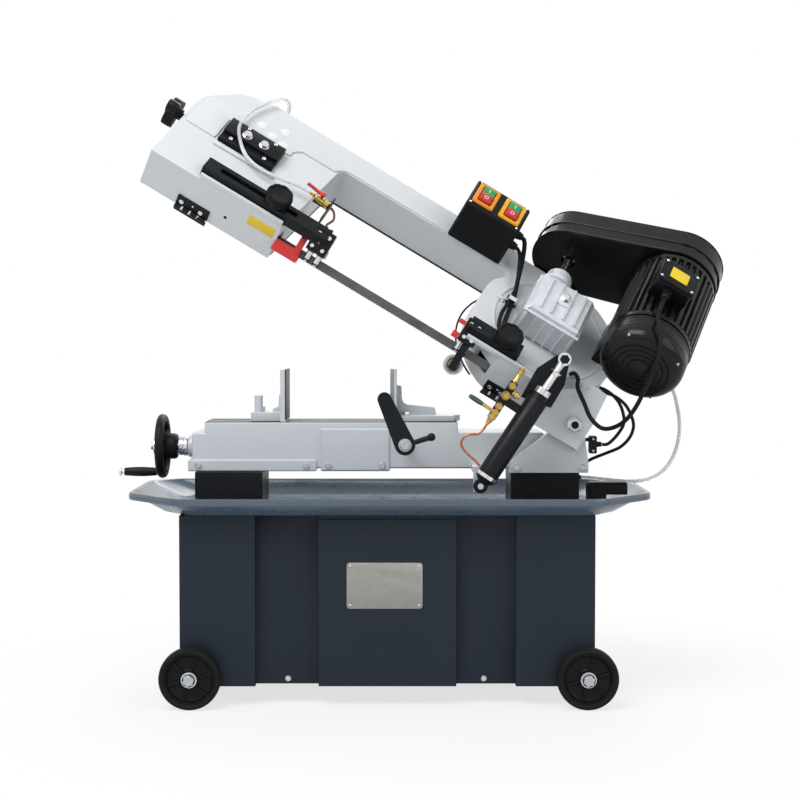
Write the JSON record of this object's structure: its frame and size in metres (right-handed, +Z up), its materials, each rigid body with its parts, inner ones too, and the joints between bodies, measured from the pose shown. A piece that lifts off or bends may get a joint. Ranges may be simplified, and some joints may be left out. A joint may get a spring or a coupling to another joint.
{
  "type": "band saw",
  "caption": "Horizontal metal-cutting band saw: leaning bow on a pivot with hydraulic feed, vise bed, chip tray and wheeled cabinet stand.",
  "frame": {"origin": "middle of the machine in X and Y, on the floor under the transport wheels", "axes": "+X runs along the bed towards the motor and pivot, +Y away from the operator, +Z up"},
  "size_m": [1.3102, 0.5761, 1.2921],
  "materials": {
    "pale_enamel": "smooth pale blue-white enamel",
    "slate_paint": "smooth slate-blue powder coat",
    "black_paint": "semi-gloss black paint",
    "motor_black": "semi-gloss black paint on ribbed aluminium",
    "black_plastic": "moulded black plastic",
    "wheel_rubber": "black rubber tread",
    "bright_steel": "turned bright steel",
    "blade_steel": "dark rolled spring steel",
    "wheel_iron": "machined grey iron",
    "cast_aluminium": "fine sand-cast aluminium",
    "bronze": "bright turned brass",
    "hose_plastic": "milky clear vinyl",
    "cable_rubber": "black cable sheath",
    "start_green": "glossy green plastic",
    "stop_red": "glossy red plastic"
  },
  "bodies": {
    "base": {"stand_left_end": "slate_paint", "stand_right_end": "slate_paint", "stand_front_panel": "slate_paint", "stand_rear_panel": "slate_paint", "chip_tray": "slate_paint", "riser_left": "black_paint", "riser_right": "black_paint", "axle_left": "bright_steel", "axle_right": "bright_steel", "bed": "pale_enamel", "fixed_jaw": "pale_enamel", "pivot_bracket": "pale_enamel", "pivot_shaft": "bright_steel", "coolant_outlet": "black_plastic", "limit_switch": "black_plastic", "coolant_hose": "hose_plastic", "switch_cable": "cable_rubber", "pump_cable": "cable_rubber"},
    "front_left_wheel": {"transport_wheel_front_left": "wheel_rubber"},
    "front_right_wheel": {"transport_wheel_front_right": "wheel_rubber"},
    "rear_left_wheel": {"transport_wheel_rear_left": "wheel_rubber"},
    "rear_right_wheel": {"transport_wheel_rear_right": "wheel_rubber"},
    "handwheel": {"vise_handwheel": "black_plastic", "vise_screw": "bright_steel"},
    "crank_grip": {"handwheel_grip": "black_plastic"},
    "vise_jaw": {"moving_jaw": "pale_enamel"},
    "stop_rod": {"work_stop_rod": "bright_steel"},
    "stop_lever": {"work_stop_lever": "black_paint"},
    "arm": {"bow_frame": "pale_enamel", "gearbox_housing": "cast_aluminium", "motor": "motor_black", "belt_guard_base": "black_paint", "drive_belt": "wheel_rubber", "saw_blade": "blade_steel", "control_box": "black_plastic", "feed_bracket": "black_paint", "spray_hose": "hose_plastic", "motor_cable": "cable_rubber", "control_cable": "cable_rubber"},
    "rear_cover": {"wheel_cover": "pale_enamel"},
    "tension_block": {"tension_slide": "black_paint"},
    "tension_handle": {"tension_knob": "black_plastic"},
    "idler": {"idler_wheel": "wheel_iron"},
    "drive": {"drive_wheel": "wheel_iron", "worm_wheel": "bronze"},
    "worm": {"worm_shaft": "bright_steel"},
    "motor_rotor": {"motor_pulley": "cast_aluminium"},
    "guard_lid": {"belt_guard_lid": "black_paint"},
    "left_blade_guide": {"left_guide": "black_paint"},
    "left_lock_knob": {"left_guide_knob": "black_plastic"},
    "right_blade_guide": {"right_guide": "black_paint"},
    "right_lock_knob": {"right_guide_knob": "black_plastic"},
    "brush": {"chip_brush": "black_plastic"},
    "start_1": {"start_button_1": "start_green"},
    "stop_1": {"stop_button_1": "stop_red"},
    "start_2": {"start_button_2": "start_green"},
    "stop_2": {"stop_button_2": "stop_red"},
    "cylinder": {"feed_cylinder": "black_paint"},
    "piston_rod": {"feed_rod": "bright_steel"},
    "valve_lever": {"feed_valve_lever": "bronze"}
  },
  "joints": [
    {"name": "arm_pivot", "type": "hinge", "parent": "base", "child": "arm", "pos_m": [0.32434, 0.02271, 0.5775], "axis": [0, 1, 0], "range_deg": [-31, 20], "deforming": ["coolant_hose", "switch_cable", "pump_cable"]},
    {"name": "front_left_wheel_spin", "type": "hinge", "parent": "base", "child": "front_left_wheel", "pos_m": [-0.47256, -0.19979, 0.0635], "axis": [0, 1, 0], "continuous": true},
    {"name": "front_right_wheel_spin", "type": "hinge", "parent": "base", "child": "front_right_wheel", "pos_m": [0.34194, -0.19979, 0.0635], "axis": [0, 1, 0], "continuous": true},
    {"name": "rear_left_wheel_spin", "type": "hinge", "parent": "base", "child": "rear_left_wheel", "pos_m": [-0.47256, 0.24521, 0.0635], "axis": [0, 1, 0], "continuous": true},
    {"name": "rear_right_wheel_spin", "type": "hinge", "parent": "base", "child": "rear_right_wheel", "pos_m": [0.34194, 0.24521, 0.0635], "axis": [0, 1, 0], "continuous": true},
    {"name": "handwheel_turn", "type": "hinge", "parent": "base", "child": "handwheel", "pos_m": [-0.56006, 0.03671, 0.524], "axis": [1, 0, 0], "range_deg": [0, 13020]},
    {"name": "vise_jaw_slide", "type": "slide", "parent": "base", "child": "vise_jaw", "axis": [1, 0, 0], "range_m": [-0.001, 0.182]},
    {"name": "crank_grip_spin", "type": "hinge", "parent": "handwheel", "child": "crank_grip", "pos_m": [-0.57206, 0.03671, 0.468], "axis": [1, 0, 0], "continuous": true},
    {"name": "stop_rod_slide", "type": "slide", "parent": "base", "child": "stop_rod", "axis": [0, 1, 0], "range_m": [0, 0.05]},
    {"name": "stop_lever_turn", "type": "hinge", "parent": "stop_rod", "child": "stop_lever", "pos_m": [-0.03206, -0.18529, 0.541], "axis": [0, 1, 0], "range_deg": [-90, 90]},
    {"name": "rear_cover_hinge", "type": "hinge", "parent": "arm", "child": "rear_cover", "pos_m": [0.30615, -0.07111, 0.54722], "axis": [-0.8572, 0, 0.515], "range_deg": [0, 45]},
    {"name": "tension_handle_turn", "type": "hinge", "parent": "arm", "child": "tension_handle", "pos_m": [-0.524, -0.01733, 1.24314], "axis": [0.8572, 0, -0.515], "range_deg": [0, 1801]},
    {"name": "tension_block_slide", "type": "slide", "parent": "arm", "child": "tension_block", "axis": [0.8572, 0, -0.515], "range_m": [0, 0.01]},
    {"name": "drive_spin", "type": "hinge", "parent": "arm", "child": "drive", "pos_m": [0.25821, 0.00671, 0.7451], "axis": [0.3642, -0.7071, 0.6061], "continuous": true},
    {"name": "idler_spin", "type": "hinge", "parent": "tension_block", "child": "idler", "pos_m": [-0.37695, 0.00671, 1.12674], "axis": [0.3642, -0.7071, 0.6061], "continuous": true},
    {"name": "worm_spin", "type": "hinge", "parent": "arm", "child": "worm", "pos_m": [0.26401, -0.06612, 0.82658], "axis": [0.3642, 0.7071, 0.6061], "continuous": true},
    {"name": "motor_spin", "type": "hinge", "parent": "arm", "child": "motor_rotor", "pos_m": [0.54798, -0.01026, 0.87786], "axis": [0.3642, 0.7071, 0.6061], "continuous": true},
    {"name": "guard_lid_slide", "type": "slide", "parent": "arm", "child": "guard_lid", "axis": [0.3642, 0.7071, 0.6061], "range_m": [0, 0.08]},
    {"name": "left_guide_slide", "type": "slide", "parent": "arm", "child": "left_blade_guide", "axis": [0.8572, 0, -0.515], "range_m": [0, 0.12]},
    {"name": "left_lock_turn", "type": "hinge", "parent": "arm", "child": "left_lock_knob", "pos_m": [-0.29016, -0.14885, 1.04984], "axis": [0.3642, -0.7071, 0.6061], "range_deg": [-180, 180]},
    {"name": "right_guide_slide", "type": "slide", "parent": "arm", "child": "right_blade_guide", "axis": [0.8572, 0, -0.515], "range_m": [-0.019, 0]},
    {"name": "right_lock_turn", "type": "hinge", "parent": "arm", "child": "right_lock_knob", "pos_m": [0.18471, -0.14885, 0.76451], "axis": [0.3642, -0.7071, 0.6061], "range_deg": [-180, 180]},
    {"name": "brush_spin", "type": "hinge", "parent": "right_blade_guide", "child": "brush", "pos_m": [0.06906, -0.09729, 0.70406], "axis": [0, 1, 0], "continuous": true},
    {"name": "start_1_press", "type": "slide", "parent": "arm", "child": "start_1", "axis": [-0.3642, 0.7071, -0.6061], "range_m": [0, 0.003], "stiffness_N_per_m": 400, "springref_m": -0.002},
    {"name": "stop_1_press", "type": "slide", "parent": "arm", "child": "stop_1", "axis": [-0.3642, 0.7071, -0.6061], "range_m": [0, 0.003], "stiffness_N_per_m": 400, "springref_m": -0.002},
    {"name": "start_2_press", "type": "slide", "parent": "arm", "child": "start_2", "axis": [-0.3642, 0.7071, -0.6061], "range_m": [0, 0.003], "stiffness_N_per_m": 400, "springref_m": -0.002},
    {"name": "stop_2_press", "type": "slide", "parent": "arm", "child": "stop_2", "axis": [-0.3642, 0.7071, -0.6061], "range_m": [0, 0.003], "stiffness_N_per_m": 400, "springref_m": -0.002},
    {"name": "cylinder_swing", "type": "hinge", "parent": "base", "child": "cylinder", "pos_m": [0.12324, -0.16329, 0.4552], "axis": [0, 1, 0], "range_deg": [-9.6, 6.3]},
    {"name": "piston_rod_swing", "type": "hinge", "parent": "arm", "child": "piston_rod", "pos_m": [0.29534, -0.16329, 0.7161], "axis": [0, 1, 0], "range_deg": [-14.2, 21.9]},
    {"name": "valve_lever_turn", "type": "hinge", "parent": "cylinder", "child": "valve_lever", "pos_m": [0.15259, -0.16329, 0.60775], "axis": [0, 1, 0], "range_deg": [0, 90]}
  ],
  "couplings": [
    {"joint": "vise_jaw_slide", "follows": "handwheel_turn", "m_per_rad": 0.00079577},
    {"joint": "tension_handle_turn", "follows": "tension_block_slide", "rad_per_m": 3141.6},
    {"joint": "idler_spin", "follows": "drive_spin", "ratio": 1},
    {"joint": "worm_spin", "follows": "drive_spin", "ratio": 30},
    {"joint": "motor_spin", "follows": "drive_spin", "ratio": 45},
    {"joint": "cylinder_swing", "follows": "arm_pivot", "ratio": 0.302},
    {"joint": "piston_rod_swing", "follows": "arm_pivot", "ratio": -0.698}
  ]
}
